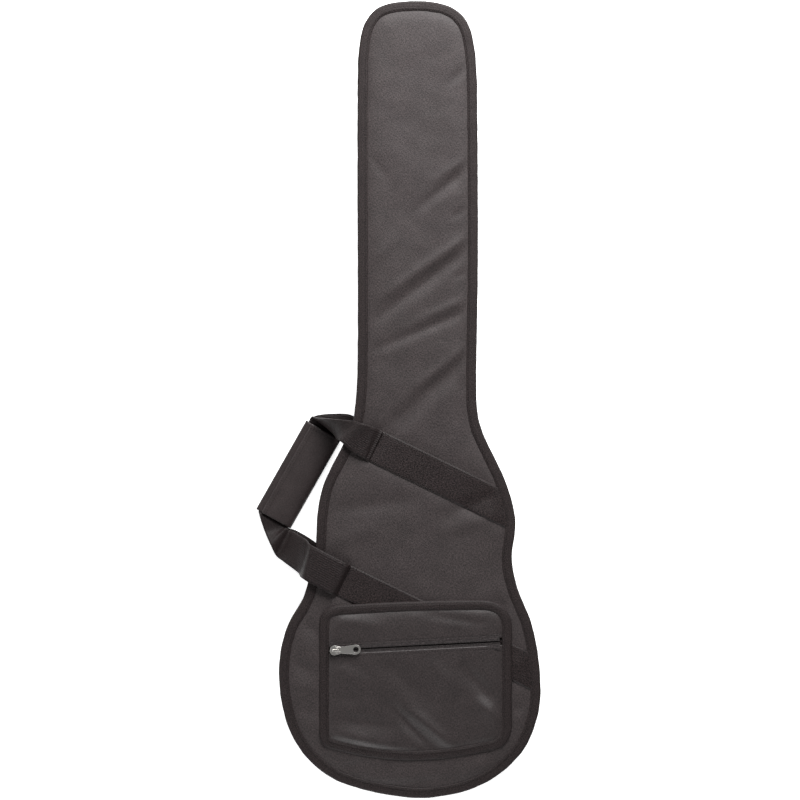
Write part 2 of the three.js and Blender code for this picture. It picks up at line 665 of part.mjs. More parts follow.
function handleWrap() {
  const group = new THREE.Group();
  const [mx, my] = [(WRAP_TOP[0] + WRAP_END[0]) / 2, (WRAP_TOP[1] + WRAP_END[1]) / 2];
  group.position.set(mx, my, 0);
  group.rotation.z = -Math.atan2(WRAP_TOP[0] - WRAP_END[0], WRAP_TOP[1] - WRAP_END[1]);
  group.add(
    mesh("wrap_base", webbing, wrapBaseSolid()),
    mesh("wrap_tab", webbing, wrapTabSolid()),
    mesh("wrap_loop_patch", hookLoop, patch(loopLow)),
    mesh("wrap_hook_patch", hookLoop, patch(hookLow)),
    mesh("wrap_flap", webbing, wrapFlapSolid()),
  );
  bag.add(group);
}

backPanel();
frontPanel();
zipGusset();
spineSidePieces();
straps();
sliders(pocket());
handleWrap();
export default bag;
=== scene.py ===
# Padded gig bag for a solid-body electric guitar, lying on its back on a pale floor.
# Lengths in this script are millimetres until a mesh is made; Blender's are metres.
import math

import bmesh
import bpy
import numpy as np
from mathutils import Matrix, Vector, noise


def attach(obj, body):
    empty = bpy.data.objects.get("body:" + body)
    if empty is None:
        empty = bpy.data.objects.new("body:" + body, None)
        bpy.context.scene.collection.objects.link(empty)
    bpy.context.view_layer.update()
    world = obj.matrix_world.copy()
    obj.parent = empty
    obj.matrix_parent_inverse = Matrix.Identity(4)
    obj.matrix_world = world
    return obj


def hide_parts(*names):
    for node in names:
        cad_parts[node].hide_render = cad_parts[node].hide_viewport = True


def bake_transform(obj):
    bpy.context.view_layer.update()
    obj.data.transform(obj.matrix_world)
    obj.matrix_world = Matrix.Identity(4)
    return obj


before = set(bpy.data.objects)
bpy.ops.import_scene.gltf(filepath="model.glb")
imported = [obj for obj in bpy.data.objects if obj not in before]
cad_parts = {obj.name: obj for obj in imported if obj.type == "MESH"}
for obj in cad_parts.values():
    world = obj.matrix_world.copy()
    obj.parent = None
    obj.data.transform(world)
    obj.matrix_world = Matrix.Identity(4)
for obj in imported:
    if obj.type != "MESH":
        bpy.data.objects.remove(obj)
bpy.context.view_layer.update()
MM = 0.001

# ---- heights and places, as the CAD has them -------------------------------------------------
HEIGHT = 60.0  # floor to the front binding's face
FOLD_X = 124.0  # the front panel opens about this line
WEB_W = 46.0  # webbing, across
# The two straps sewn across the bag lie parallel and fall to the right.
ALONG_RUN = np.array((0.8996, -0.4368))
ACROSS_RUN = np.array((0.4368, 0.8996))
RUN_FALL = 0.4856
RUN_X = 38.7  # each strap's height is given on this line
UPPER_RUN = 280.7
LOWER_RUN = 80.9
SEAM_INSET = 11.5  # the padding starts to rise here, at the binding's inner edge


# ---- camera ----------------------------------------------------------------------------------
CAMERA_LENS = 100
BAG_TOP = 0.0612  # metres, as are the next two
CAMERA_ABOVE_TOP = 2.963
CAMERA_OVER = (-0.0147, 0.384)


def make_camera():
    """Looks straight down, with the bag's neck up the picture."""
    data = bpy.data.cameras.new("camera")
    data.lens = CAMERA_LENS
    data.sensor_width = 36
    camera = bpy.data.objects.new("camera", data)
    bpy.context.scene.collection.objects.link(camera)
    camera.location = (*CAMERA_OVER, BAG_TOP + CAMERA_ABOVE_TOP)
    camera.rotation_euler = (0, 0, 0)
    bpy.context.scene.camera = camera


make_camera()


# ---- mesh helpers ----------------------------------------------------------------------------
def new_object(name, verts, faces, uvs=None, smooth=True):
    """A mesh object from millimetre points. uvs are millimetres too, one for each vertex."""
    mesh = bpy.data.meshes.new(name)
    mesh.from_pydata([tuple(v) for v in np.asarray(verts, float) * MM], [], faces)
    if uvs is not None:
        layer = mesh.uv_layers.new(name="cloth")
        table = np.asarray(uvs, float) * MM
        loops = np.zeros(len(mesh.loops), int)
        mesh.loops.foreach_get("vertex_index", loops)
        layer.data.foreach_set("uv", table[loops].ravel())
    mesh.polygons.foreach_set("use_smooth", [smooth] * len(mesh.polygons))
    mesh.update()
    made = bpy.data.objects.new(name, mesh)
    bpy.context.scene.collection.objects.link(made)
    return made


def grid_faces(rows, columns, close_rows=False, close_columns=False):
    """Four-sided faces over a grid of points that is listed row by row."""
    faces = []
    for i in range(rows if close_rows else rows - 1):
        for j in range(columns if close_columns else columns - 1):
            i2, j2 = (i + 1) % rows, (j + 1) % columns
            faces.append((i * columns + j, i * columns + j2, i2 * columns + j2, i2 * columns + j))
    return faces


def outward(made):
    """Turns every face of a closed shell to the outside."""
    work = bmesh.new()
    work.from_mesh(made.data)
    bmesh.ops.recalc_face_normals(work, faces=work.faces)
    work.to_mesh(made.data)
    work.free()
    return made


def apply_modifiers(made):
    """The modified mesh becomes the object's own, and no modifier is left."""
    graph = bpy.context.evaluated_depsgraph_get()
    mesh = bpy.data.meshes.new_from_object(made.evaluated_get(graph))
    made.modifiers.clear()
    made.data = mesh
    return made


def thicken(made, millimetres, offset=-1.0):
    """Gives a surface a wall, below it unless offset says otherwise."""
    wall = made.modifiers.new("Wall", "SOLIDIFY")
    wall.thickness = millimetres * MM
    wall.offset = offset
    return apply_modifiers(made)


def paint(made, material):
    made.data.materials.clear()
    made.data.materials.append(material)
    return made


def catmull(points, count):
    """count points along the centripetal Catmull-Rom curve through the given ones, evenly by station."""
    p = np.asarray(points, float)
    p = np.vstack([2 * p[0] - p[1], p, 2 * p[-1] - p[-2]])
    out = []
    spans = len(p) - 3
    for k in range(count):
        t = k / (count - 1) * spans
        i = min(int(t), spans - 1)
        a, b, c, d = p[i : i + 4]
        t0 = 0.0
        t1 = t0 + max(np.linalg.norm(b - a), 1e-6) ** 0.5
        t2 = t1 + max(np.linalg.norm(c - b), 1e-6) ** 0.5
        t3 = t2 + max(np.linalg.norm(d - c), 1e-6) ** 0.5
        u = t1 + (t - i) * (t2 - t1)
        ab = (t1 - u) / (t1 - t0) * a + (u - t0) / (t1 - t0) * b
        bc = (t2 - u) / (t2 - t1) * b + (u - t1) / (t2 - t1) * c
        cd = (t3 - u) / (t3 - t2) * c + (u - t2) / (t3 - t2) * d
        abc = (t2 - u) / (t2 - t0) * ab + (u - t0) / (t2 - t0) * bc
        bcd = (t3 - u) / (t3 - t1) * bc + (u - t1) / (t3 - t1) * cd
        out.append((t2 - u) / (t2 - t1) * abc + (u - t1) / (t2 - t1) * bcd)
    return np.array(out)


def ripple(x, y, size, seed=0.0):
    """Smooth noise of about one, for cloth that isn't quite flat. size is a hump's width."""
    return noise.noise(Vector((x / size, y / size, seed)))


# ---- the rim ---------------------------------------------------------------------------------
def signed_area(ring):
    """More than nothing for a ring of points that runs anticlockwise."""
    x, y = ring[:, 0], ring[:, 1]
    return 0.5 * np.sum(x * np.roll(y, -1) - np.roll(x, -1) * y)


def outline_of(node):
    """The outer edge of a CAD node's top face, anticlockwise, as millimetre points."""
    work = bmesh.new()
    work.from_mesh(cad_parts[node].data)
    bmesh.ops.remove_doubles(work, verts=work.verts, dist=1e-6)
    top = max(v.co.z for v in work.verts)
    flat = [f for f in work.faces if f.normal.z > 0.9 and min(v.co.z for v in f.verts) > top - 1e-4]
    flat_set = set(flat)
    nexts = {}
    for face in flat:
        for loop in face.loops:
            if sum(f in flat_set for f in loop.edge.link_faces) == 1:
                nexts[loop.vert] = loop.link_loop_next.vert
    loops = []
    while nexts:
        start, at = next(iter(nexts.items()))
        ring = [start]
        del nexts[start]
        while at in nexts:
            ring.append(at)
            at = nexts.pop(at)
        loops.append(np.array([(v.co.x, v.co.y) for v in ring]) / MM)
    work.free()
    ring = max(loops, key=lambda ring: abs(signed_area(ring)))
    return ring if signed_area(ring) > 0 else ring[::-1]


class Rim:
    """A closed edge, resampled evenly, with the way in and the length run so far at each sample."""

    def __init__(self, ring, step=3.0, start=None):
        if start is not None:
            ring = np.roll(ring, -int(np.argmin(np.hypot(*(ring - start).T))), axis=0)
        ring = ring[np.hypot(*(ring - np.roll(ring, 1, axis=0)).T) > 0.4]
        wrapped = np.vstack([ring[-3:], ring, ring[:4]])
        fine = catmull(wrapped, (len(wrapped) - 1) * 24 + 1)[3 * 24 : (3 + len(ring)) * 24 + 1]
        length = np.concatenate([[0], np.cumsum(np.hypot(*np.diff(fine, axis=0).T))])
        count = int(round(length[-1] / step))
        at = np.linspace(0, length[-1], count + 1)[:-1]
        self.points = np.stack([np.interp(at, length, fine[:, k]) for k in (0, 1)], 1)
        self.length = at
        self.total = length[-1]
        for _ in range(3):
            self.points = (np.roll(self.points, 1, 0) + 2 * self.points + np.roll(self.points, -1, 0)) / 4
        along = np.roll(self.points, -2, 0) - np.roll(self.points, 2, 0)
        along /= np.hypot(*along.T)[:, None]
        self.inward = np.stack([-along[:, 1], along[:, 0]], 1)

    def inset(self, distance):
        return self.points + self.inward * distance

    def distance(self, x, y):
        """How far inside the rim a place is, or less than nothing outside it."""
        d = np.hypot(self.points[:, 0] - x, self.points[:, 1] - y)
        i = int(np.argmin(d))
        side = np.dot((x, y) - self.points[i], self.inward[i])
        return math.copysign(d[i], side)


def end_of_spine(edge):
    """The sample, above the waist, where the edge comes back to the fold line."""
    first_tried = 40  # the first samples lie near the fold line too
    for i in range(first_tried, len(edge.points)):
        x, y = edge.points[i]
        if x < FOLD_X + 0.6 and y > 240:
            return i


rim = Rim(outline_of("back_binding"), start=(FOLD_X, -110))
spine_end = end_of_spine(rim)
SPINE = range(0, spine_end)
ZIP_RUN = range(spine_end, len(rim.points))
ALL = range(len(rim.points))


def band(name, edge, profile, span=None, waver=0.0, seed=0.0):
    """A strip along an edge. profile is a closed list of (inset, height) going round its section,
    and waver is how far the strip strays from it, as sewn tape does."""
    span = span or range(len(edge.points))
    whole = len(span) == len(edge.points)
    profile = np.asarray(profile, float)
    steps = np.hypot(*np.diff(np.vstack([profile, profile[:1]]), axis=0).T)
    across = np.concatenate([[0], np.cumsum(steps)[:-1]])
    verts, uvs = [], []
    for i in span:
        point, inward, run = edge.points[i], edge.inward[i], edge.length[i]
        for (inset, height), v in zip(profile, across):
            wobble = waver * ripple(run, v * 3, 14, seed)
            x, y = point + inward * (inset + wobble)
            verts.append((x, y, height + wobble * 0.6))
            uvs.append((run, v))
    n = len(profile)
    faces = grid_faces(len(span), n, close_rows=whole, close_columns=True)
    if not whole:
        faces += [tuple(range(n)), tuple(range((len(span) - 1) * n, len(span) * n))[::-1]]
    return outward(new_object(name, verts, faces, uvs))


# ---- the panels' shapes ----------------------------------------------------------------------
def run_height(x, centre):
    """Y of a sewn strap's middle at x."""
    return centre - RUN_FALL * (x - RUN_X)


def run_distance(x, y, centre):
    return abs(y - run_height(x, centre)) * ALONG_RUN[0]


def fold(x, y, ax, ay, bx, by, width, depth):
    """A crease or ridge in the cloth from a to b, fading at both ends. depth below nothing sinks."""
    dx, dy = bx - ax, by - ay
    length = math.hypot(dx, dy)
    t = ((x - ax) * dx + (y - ay) * dy) / length**2
    if t < -0.15 or t > 1.15:
        return 0.0
    off = ((x - ax) * dy - (y - ay) * dx) / length
    fade = max(0.0, 1 - (abs(2 * t - 1) / 1.3) ** 2)
    return depth * fade * math.exp(-((off / width) ** 2))


# Soft folds across the neck and round the waist, where the padding gives way when the bag is
# stood up: (from, to, width, depth).
FRONT_FOLDS = [
    ((86, 592), (-44, 494), 9, -3.4),
    ((90, 612), (-30, 528), 7, 2.0),
    ((88, 508), (-46, 452), 7, -2.4),
    ((90, 526), (10, 490), 6, 1.5),
    ((84, 450), (-40, 340), 9, -3.0),
    ((90, 466), (0, 396), 7, 1.6),
    ((60, 418), (-44, 318), 8, -1.6),
    ((86, 700), (10, 640), 7, -2.2),
    ((88, 716), (30, 676), 6, 1.2),
    ((90, 560), (58, 548), 5, -1.6),
    ((90, 648), (56, 628), 5, -1.2),
    ((90, 672), (62, 656), 4, 0.9),
    ((90, 842), (52, 806), 6, -1.4),
    ((88, 786), (66, 760), 5, -0.9),
    ((88, 420), (66, 396), 5, -1.2),
    ((-60, 716), (-30, 676), 7, -1.0),
    ((-62, 560), (-20, 600), 9, 0.9),
    ((-62, 420), (-36, 440), 7, -0.9),
    ((132, 268), (50, 232), 9, -2.0),
    ((120, 232), (40, 208), 9, 1.3),
    ((-120, 236), (0, 250), 11, -1.8),
    ((-126, 190), (-40, 214), 12, 1.0),
    ((-146, 96), (-122, 66), 7, -2.2),
    ((-160, 84), (-130, 40), 7, 1.4),
    ((-172, 44), (-128, 18), 8, -2.4),
    ((-172, 10), (-130, -2), 7, 1.6),
    ((-166, -34), (-128, -30), 8, -2.0),
    ((-158, -62), (-122, -44), 7, 1.6),
    ((-140, -84), (-114, -72), 6, -2.0),
    ((-104, -116), (-60, -98), 7, -2.2),
    ((-70, -128), (0, -114), 7, 1.6),
    ((-30, -136), (60, -120), 6, -2.4),
    ((60, -126), (104, -92), 8, 1.6),
    ((120, -112), (104, -84), 6, -1.6),
    ((152, -66), (136, -50), 7, -1.8),
    ((166, -20), (138, -30), 7, -2.0),
    ((164, 44), (138, 30), 8, 1.4),
    ((150, 100), (110, 120), 9, -1.4),
]
PUFF = 3.4  # how far the padding stands above its seam


def front_height(x, y, d=None):
    """The outside of the front panel. d is how far in from the rim, if that is known already."""
    d = rim.distance(x, y) if d is None else d
    over = max(0.0, d - SEAM_INSET)
    height = HEIGHT - 0.7 + PUFF * (1 - math.exp(-over / 9))
    inside = min(1.0, over / 16)
    for (a, b, width, depth) in FRONT_FOLDS:
        height += inside * fold(x, y, *a, *b, width, depth)
    height += inside * (0.9 * ripple(x, y, 60, 2) + 0.35 * ripple(x, y, 22, 5) + 0.12 * ripple(x, y, 9, 7))
    for centre in (UPPER_RUN, LOWER_RUN):
        near = run_distance(x, y, centre)
        height -= 1.5 * inside * math.exp(-((near / 27) ** 6))
    return height


def back_height(x, y):
    over = max(0.0, rim.distance(x, y) - SEAM_INSET)
    height = 0.25 + 1.1 * math.exp(-over / 6)
    return height + max(0.0, 0.5 * ripple(x, y, 70, 11) + 0.25 * ripple(x, y, 20, 13)) * min(1, over / 16)


def interval(ring, y):
    """The panel's left and right edges on the line across it at y."""
    a, b = ring, np.roll(ring, -1, axis=0)
    hit = (a[:, 1] - y) * (b[:, 1] - y) < 0
    xs = a[hit, 0] + (y - a[hit, 1]) / (b[hit, 1] - a[hit, 1]) * (b[hit, 0] - a[hit, 0])
    return xs.min(), xs.max()


def panel(name, ring, height, step=3.6, columns=72, facing_up=True):
    """A cloth surface filling a ring of points, in lines across the bag."""
    low, high = ring[:, 1].min(), ring[:, 1].max()
    ends = [0.3, 1.0, 2.1, 3.6, 5.6, 8.2, 11.4]
    inner = np.arange(low + 15, high - 15, step)
    rows = [low + e for e in ends] + list(inner) + [high - e for e in reversed(ends)]
    verts, uvs = [], []
    for y in rows:
        left, right = interval(ring, y)
        for k in range(columns + 1):
            # Closer lines towards both edges, where the padding curves down.
            u = 0.5 - 0.5 * math.cos(math.pi * k / columns)
            u = 0.55 * u + 0.45 * k / columns
            x = left + (right - left) * u
            verts.append((x, y, height(x, y)))
            uvs.append((x, y))
    faces = grid_faces(len(rows), columns + 1)
    if not facing_up:
        faces = [f[::-1] for f in faces]
    return new_object(name, verts, faces, uvs)


# ---- finishes --------------------------------------------------------------------------------
def linear(colour):
    """An sRGB hex colour as linear RGBA."""
    channels = [int(colour[i : i + 2], 16) / 255 for i in (1, 3, 5)]
    return [c / 12.92 if c <= 0.04045 else ((c + 0.055) / 1.055) ** 2.4 for c in channels] + [1.0]


def node(tree, kind, inputs=None, **settings):
    """A new node. settings are its own properties; inputs are socket values, or sockets to link from."""
    made = tree.nodes.new(kind)
    for key, value in settings.items():
        setattr(made, key, value)
    for key, value in (inputs or {}).items():
        if isinstance(value, bpy.types.NodeSocket):
            tree.links.new(value, made.inputs[key])
        else:
            made.inputs[key].default_value = value
    return made


def new_material(name, **values):
    """A material with its shader's constant values set, and the shader and its tree to build on."""
    material = bpy.data.materials.new(name)
    material.use_nodes = True
    tree = material.node_tree
    shader = tree.nodes["Principled BSDF"]
    for key, value in values.items():
        shader.inputs[key.replace("_", " ")].default_value = value
    return material, tree, shader


WAVE_REPEAT = 0.3142  # metres that a wave texture at scale 1 takes to repeat


def wave(tree, vector, pitch_mm, direction):
    """Ribs a pitch apart."""
    inputs = {"Vector": vector, "Scale": WAVE_REPEAT / (pitch_mm * MM)}
    return node(tree, "ShaderNodeTexWave", inputs, bands_direction=direction).outputs["Fac"]


def coloured(tree, shader, vector, colour, size_mm, low, high, grain, contrast):
    """The colour, lighter and darker in blotches of a size and thread by thread, on the shader."""
    noise_inputs = {"Vector": vector, "Scale": 1 / (size_mm * MM), "Detail": 4.0, "Roughness": 0.6}
    blotch = node(tree, "ShaderNodeTexNoise", noise_inputs).outputs["Fac"]
    spread = node(
        tree,
        "ShaderNodeMapRange",
        {"Value": blotch, "From Min": 0.3, "From Max": 0.7, "To Min": low, "To Max": high},
    ).outputs["Result"]
    speck = node(
        tree,
        "ShaderNodeMapRange",
        {"Value": grain, "From Min": 0.8, "From Max": 1.2, "To Min": 1 - contrast, "To Max": 1 + contrast},
    ).outputs["Result"]
    both = node(tree, "ShaderNodeMath", {0: spread, 1: speck}, operation="MULTIPLY").outputs["Value"]
    tint = node(tree, "ShaderNodeVectorMath", {0: linear(colour)[:3], "Scale": both}, operation="SCALE")
    tree.links.new(tint.outputs["Vector"], shader.inputs["Base Color"])


def bumped(tree, shader, height, strength, distance_mm):
    inputs = {"Height": height, "Strength": strength, "Distance": distance_mm * MM}
    bump = node(tree, "ShaderNodeBump", inputs)
    tree.links.new(bump.outputs["Normal"], shader.inputs["Normal"])


def threads(tree, place, across_mm, along_mm, turn=False):
    """Uneven threads: noise drawn out along one way of the cloth."""
    scale = (1 / (along_mm * MM), 1 / (across_mm * MM), 1.0)
    if turn:
        scale = (scale[1], scale[0], 1.0)
    drawn = node(tree, "ShaderNodeVectorMath", {0: place, 1: scale}, operation="MULTIPLY").outputs["Vector"]
    return node(tree, "ShaderNodeTexNoise", {"Vector": drawn, "Scale": 1.0, "Detail": 1.0}).outputs["Fac"]


def woven(name, colour, pitch_mm, roughness, bump=0.5, sheen=0.04, shine=0.3, grain=0.5):
    """Cloth woven square: threads both ways."""
    material, tree, shader = new_material(
        name,
        Roughness=roughness,
        Sheen_Weight=sheen,
        Sheen_Roughness=0.5,
        Specular_IOR_Level=shine,
    )
    place = node(tree, "ShaderNodeUVMap", uv_map="cloth").outputs["UV"]
    warp = threads(tree, place, pitch_mm, pitch_mm * 3)
    weft = threads(tree, place, pitch_mm, pitch_mm * 3, turn=True)
    both = node(tree, "ShaderNodeMath", {0: warp, 1: weft}, operation="ADD").outputs["Value"]
    bumped(tree, shader, both, bump, 0.5)
    coloured(tree, shader, place, colour, 25, 0.85, 1.12, both, grain)
    return material


def ribbed(name, colour, rib_mm, roughness, cross_mm=2.4, bump=0.6, ribs_show=0.5, grain=0.6):
    """Narrow webbing or tape: ribs running along it, and uneven threads over them."""
    material, tree, shader = new_material(name, Roughness=roughness, Specular_IOR_Level=0.16)
    place = node(tree, "ShaderNodeUVMap", uv_map="cloth").outputs["UV"]
    ribs = wave(tree, place, rib_mm, "Y")
    specks = threads(tree, place, cross_mm, cross_mm * 1.4)
    fine = threads(tree, place, cross_mm * 0.7, cross_mm * 0.7, turn=True)
    thread = node(tree, "ShaderNodeMath", {0: specks, 1: fine}, operation="ADD").outputs["Value"]
    raised = node(
        tree, "ShaderNodeMath", {0: ribs, 1: ribs_show, 2: thread}, operation="MULTIPLY_ADD"
    ).outputs["Value"]
    bumped(tree, shader, raised, bump, 0.6)
    coloured(tree, shader, place, colour, 30, 0.9, 1.1, thread, grain)
    return material


def plain(name, colour, roughness, **values):
    """A finish with no weave."""
    material, _, shader = new_material(name, Roughness=roughness, **values)
    shader.inputs["Base Color"].default_value = linear(colour)
    return material


# 600-denier nylon, PU-backed; its threads are 0.5 mm, drawn at 0.9 mm so that they can be seen
NYLON = woven(
    "nylon cloth, 600 denier", "#302a2a", 0.9, 0.56, bump=0.45, sheen=0.02, shine=0.28, grain=0.5
)
# the same nylon on the pocket, drawn a shade darker and glossier than on the panels
POCKET_NYLON = woven(
    "nylon cloth, 600 denier, pocket", "#2a2424", 0.9, 0.48, bump=0.45, sheen=0.02, shine=0.36, grain=0.5
)
# polyester grosgrain binding tape; its threads are 0.7 mm, drawn at 1.2 mm, and its ribs at 3.4 mm
BINDING = ribbed(
    "grosgrain binding tape", "#241e1e", 3.4, 0.55, cross_mm=1.2, ribs_show=0.25, grain=0.75
)
# polypropylene webbing, sewn down; its threads are about 1 mm, drawn at 1.5 mm, and its ribs at 3.2 mm
WEBBING = ribbed("polypropylene webbing", "#211b1b", 3.2, 0.5, cross_mm=1.5, ribs_show=0.12, grain=0.9)
# the same webbing where it is free and its ribs show; threads at 1.6 mm, ribs at 2.9 mm
LOOP_WEBBING = ribbed(
    "polypropylene webbing, free", "#1d1717", 2.9, 0.5, cross_mm=1.6, ribs_show=0.7, grain=0.6
)
# smooth 210-denier nylon over thin foam; its threads are 0.3 mm, drawn at 0.8 mm
WRAP_CLOTH = woven("nylon cloth, smooth", "#2b2525", 0.8, 0.42, bump=0.3, sheen=0.0, grain=0.25)
# brushed polyester lining; its nap is drawn at 2 mm, coarser than it is
LINING = woven("brushed lining", "#1f1d1e", 2.0, 0.85, bump=0.3, sheen=0.2)
# knitted zip tape; its knit is about 0.7 mm, drawn at 1.4 mm
ZIP_TAPE = woven("zip tape", "#2c2727", 1.4, 0.6, bump=0.35)
# nylon zip coil, moulded and dyed
COIL = plain("nylon zip coil", "#211d1d", 0.5, Specular_IOR_Level=0.25)
# bonded polyester sewing thread
THREAD = plain("sewing thread", "#1e1919", 0.6, Specular_IOR_Level=0.2)
# hook-and-loop tape
HOOK_LOOP = plain("hook-and-loop tape", "#1d1b1c", 0.9, Sheen_Weight=0.4)
# nickel plate on zinc
NICKEL = plain("nickel plate", "#d2cfcb", 0.28, Metallic=1.0)


# ---- rows of stitches and teeth --------------------------------------------------------------
def row_group():
    """Geometry nodes: small rounded bars along paths, each turned with its path and its cloth."""
    group = bpy.data.node_groups.new("row of bars", "GeometryNodeTree")
    face = group.interface
    face.new_socket("Geometry", in_out="INPUT", socket_type="NodeSocketGeometry")
    for name in ("Pitch", "Length", "Width", "Depth"):
        face.new_socket(name, in_out="INPUT", socket_type="NodeSocketFloat")
    face.new_socket("Material", in_out="INPUT", socket_type="NodeSocketMaterial")
    face.new_socket("Geometry", in_out="OUTPUT", socket_type="NodeSocketGeometry")
    given = node(group, "NodeGroupInput").outputs
    path = node(group, "GeometryNodeMeshToCurve", {"Mesh": given["Geometry"]})
    even = node(
        group,
        "GeometryNodeResampleCurve",
        {"Curve": path.outputs["Curve"], "Length": given["Pitch"]},
        mode="LENGTH",
    )
    tangent = node(group, "GeometryNodeInputTangent")
    upward = node(group, "GeometryNodeInputNamedAttribute", {"Name": "upward"}, data_type="FLOAT_VECTOR")
    turned = node(
        group, "FunctionNodeAlignRotationToVector", {"Vector": tangent.outputs["Tangent"]}, axis="X"
    )
    rolled = node(
        group,
        "FunctionNodeAlignRotationToVector",
        {"Rotation": turned.outputs["Rotation"], "Vector": upward.outputs["Attribute"]},
        axis="Z",
        pivot_axis="X",
    )
    bar = node(group, "GeometryNodeMeshUVSphere", {"Segments": 6, "Rings": 4, "Radius": 0.5})
    size = node(
        group, "ShaderNodeCombineXYZ", {"X": given["Length"], "Y": given["Width"], "Z": given["Depth"]}
    )
    bars = node(
        group,
        "GeometryNodeInstanceOnPoints",
        {
            "Points": even.outputs["Curve"],
            "Instance": bar.outputs["Mesh"],
            "Rotation": rolled.outputs["Rotation"],
            "Scale": size.outputs["Vector"],
        },
    )
    real = node(group, "GeometryNodeRealizeInstances", {"Geometry": bars.outputs["Instances"]})
    coloured = node(
        group,
        "GeometryNodeSetMaterial",
        {"Geometry": real.outputs["Geometry"], "Material": given["Material"]},
    )
    node(group, "NodeGroupOutput", {"Geometry": coloured.outputs["Geometry"]})
    return group


ROWS = row_group()


def rows_along(name, paths, material, pitch, length, width, depth):
    """One mesh of bars along paths. A path is a list of (point, upward) in millimetres."""
    points, ups, edges = [], [], []
    for path in paths:
        first = len(points)
        points += [p for p, _ in path]
        ups += [u for _, u in path]
        edges += [(first + k, first + k + 1) for k in range(len(path) - 1)]
    mesh = bpy.data.meshes.new(name)
    mesh.from_pydata([tuple(p) for p in np.asarray(points, float) * MM], edges, [])
    attribute = mesh.attributes.new("upward", "FLOAT_VECTOR", "POINT")
    attribute.data.foreach_set("vector", np.asarray(ups, float).ravel())
    made = bpy.data.objects.new(name, mesh)
    bpy.context.scene.collection.objects.link(made)
    modifier = made.modifiers.new("Rows", "NODES")
    modifier.node_group = ROWS
    given = {"Pitch": pitch * MM, "Length": length * MM, "Width": width * MM, "Depth": depth * MM}
    given["Material"] = material
    for item in ROWS.interface.items_tree:
        if item.in_out == "INPUT" and item.name in given:
            modifier[item.identifier] = given[item.name]
    apply_modifiers(made)
    made.data.polygons.foreach_set("use_smooth", [True] * len(made.data.polygons))
    return made


def stitches(name, paths, pitch=3.6, length=2.9, width=0.8, depth=0.7):
    return rows_along(name, paths, THREAD, pitch, length, width, depth)


UP = (0, 0, 1)


def rim_path(edge, span, inset, height):
    """A path along an edge, at every other sample."""
    path = []
    for i in list(span)[::2]:
        x, y = edge.points[i] + edge.inward[i] * inset
        path.append(((x, y, height), UP))
    return path


def outer_path(edge, span, inset, height):
    """A path along a wall that stands on an edge and faces out of the bag."""
    path = []
    for i in list(span)[::2]:
        x, y = edge.points[i] + edge.inward[i] * inset
        path.append(((x, y, height), (-edge.inward[i][0], -edge.inward[i][1], 0)))
    return path


# ---- the shell's pieces ----------------------------------------------------------------------
def across_fold(made):
    """Bakes the piece's place into its mesh; the piece is not attached to any body."""
    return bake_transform(made)


def mirrored(profile):
    """A back section turned over for the front, or a front one for the back."""
    return [(inset, HEIGHT - z) for inset, z in profile]


CLOTH_INSET = 5.5  # the panels' cloth ends here, inside the folded binding
LINING_INSET = 10.9
# The folded binding, on the front.
TAPE_SECTION = [
    (13.4, 59.0), (13.1, 60.1), (11.8, 60.8), (8, 60.7), (5, 60.6), (2.4, 60.5), (0.6, 60.1),
    (-0.3, 58.9), (-0.4, 56.4), (0.4, 55.0), (2, 54.5), (8.0, 54.4), (8.5, 54.9), (8.0, 55.4),
    (2.6, 55.6), (1.4, 57.6), (2.4, 59.2), (12.3, 59.2),
]

front_cloth = thicken(panel("front_padded_cloth", rim.inset(CLOTH_INSET), front_height), 1.2)
paint(front_cloth, NYLON)
across_fold(front_cloth)
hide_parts("front_cover", "spine_cover")

back_cloth = thicken(panel("back_padded_cloth", rim.inset(CLOTH_INSET), back_height, facing_up=False), 1.2)
paint(back_cloth, NYLON)
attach(back_cloth, "back_shell")
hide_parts("back_cover")

front_tape = paint(band("front_binding_tape", rim, TAPE_SECTION, waver=0.5, seed=3), BINDING)
across_fold(front_tape)
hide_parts("front_binding", "spine_binding")

back_section = [(inset, z + 1.2) for inset, z in mirrored(TAPE_SECTION)]
back_tape = paint(band("back_binding_tape", rim, back_section, waver=0.3, seed=4), BINDING)
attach(back_tape, "back_shell")
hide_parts("back_binding")

# Gusset walls; the edge at the zip is turned under.
WALL_SECTION = [
    (8.6, 4.4), (8.2, 9), (8.0, 14), (8.1, 19.5), (8.5, 21.9), (9.4, 22.3), (10.0, 21.6),
    (10.0, 18), (9.4, 16), (9.6, 4.4),
]
LENGTH_NODES = ("right", "end", "left")
back_wall = paint(band("back_gusset_wall", rim, WALL_SECTION, ZIP_RUN, waver=0.5, seed=5), NYLON)
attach(back_wall, "back_shell")
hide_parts(*[f"back_gusset_{n}" for n in LENGTH_NODES])
front_wall = band("front_gusset_wall", rim, mirrored(WALL_SECTION), ZIP_RUN, waver=0.5, seed=6)
paint(front_wall, NYLON)
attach(front_wall, "front_panel")
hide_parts(*[f"front_gusset_{n}" for n in LENGTH_NODES])
SPINE_SECTION = [
    (8.6, 4.4), (7.9, 14), (7.6, 30), (7.9, 46), (8.6, 55.6), (9.7, 55.6), (9.1, 46), (8.9, 30),
    (9.1, 14), (9.7, 4.4),
]
spine_wall = paint(band("spine_gusset_wall", rim, SPINE_SECTION, SPINE, waver=0.9, seed=7), NYLON)
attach(spine_wall, "back_shell")
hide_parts("spine_gusset")

TAPE_STRIP = [(10.2, 15.5), (10.1, 28.7), (10.9, 28.7), (11.0, 15.5)]
for side, body in (("back", "back_shell"), ("front", "front_panel")):
    section = TAPE_STRIP if side == "back" else mirrored(TAPE_STRIP)
    strip = paint(band(f"{side}_zip_tape_cloth", rim, section, ZIP_RUN), ZIP_TAPE)
    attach(strip, body)
    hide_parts(*[f"{side}_zip_tape_{n}" for n in LENGTH_NODES])


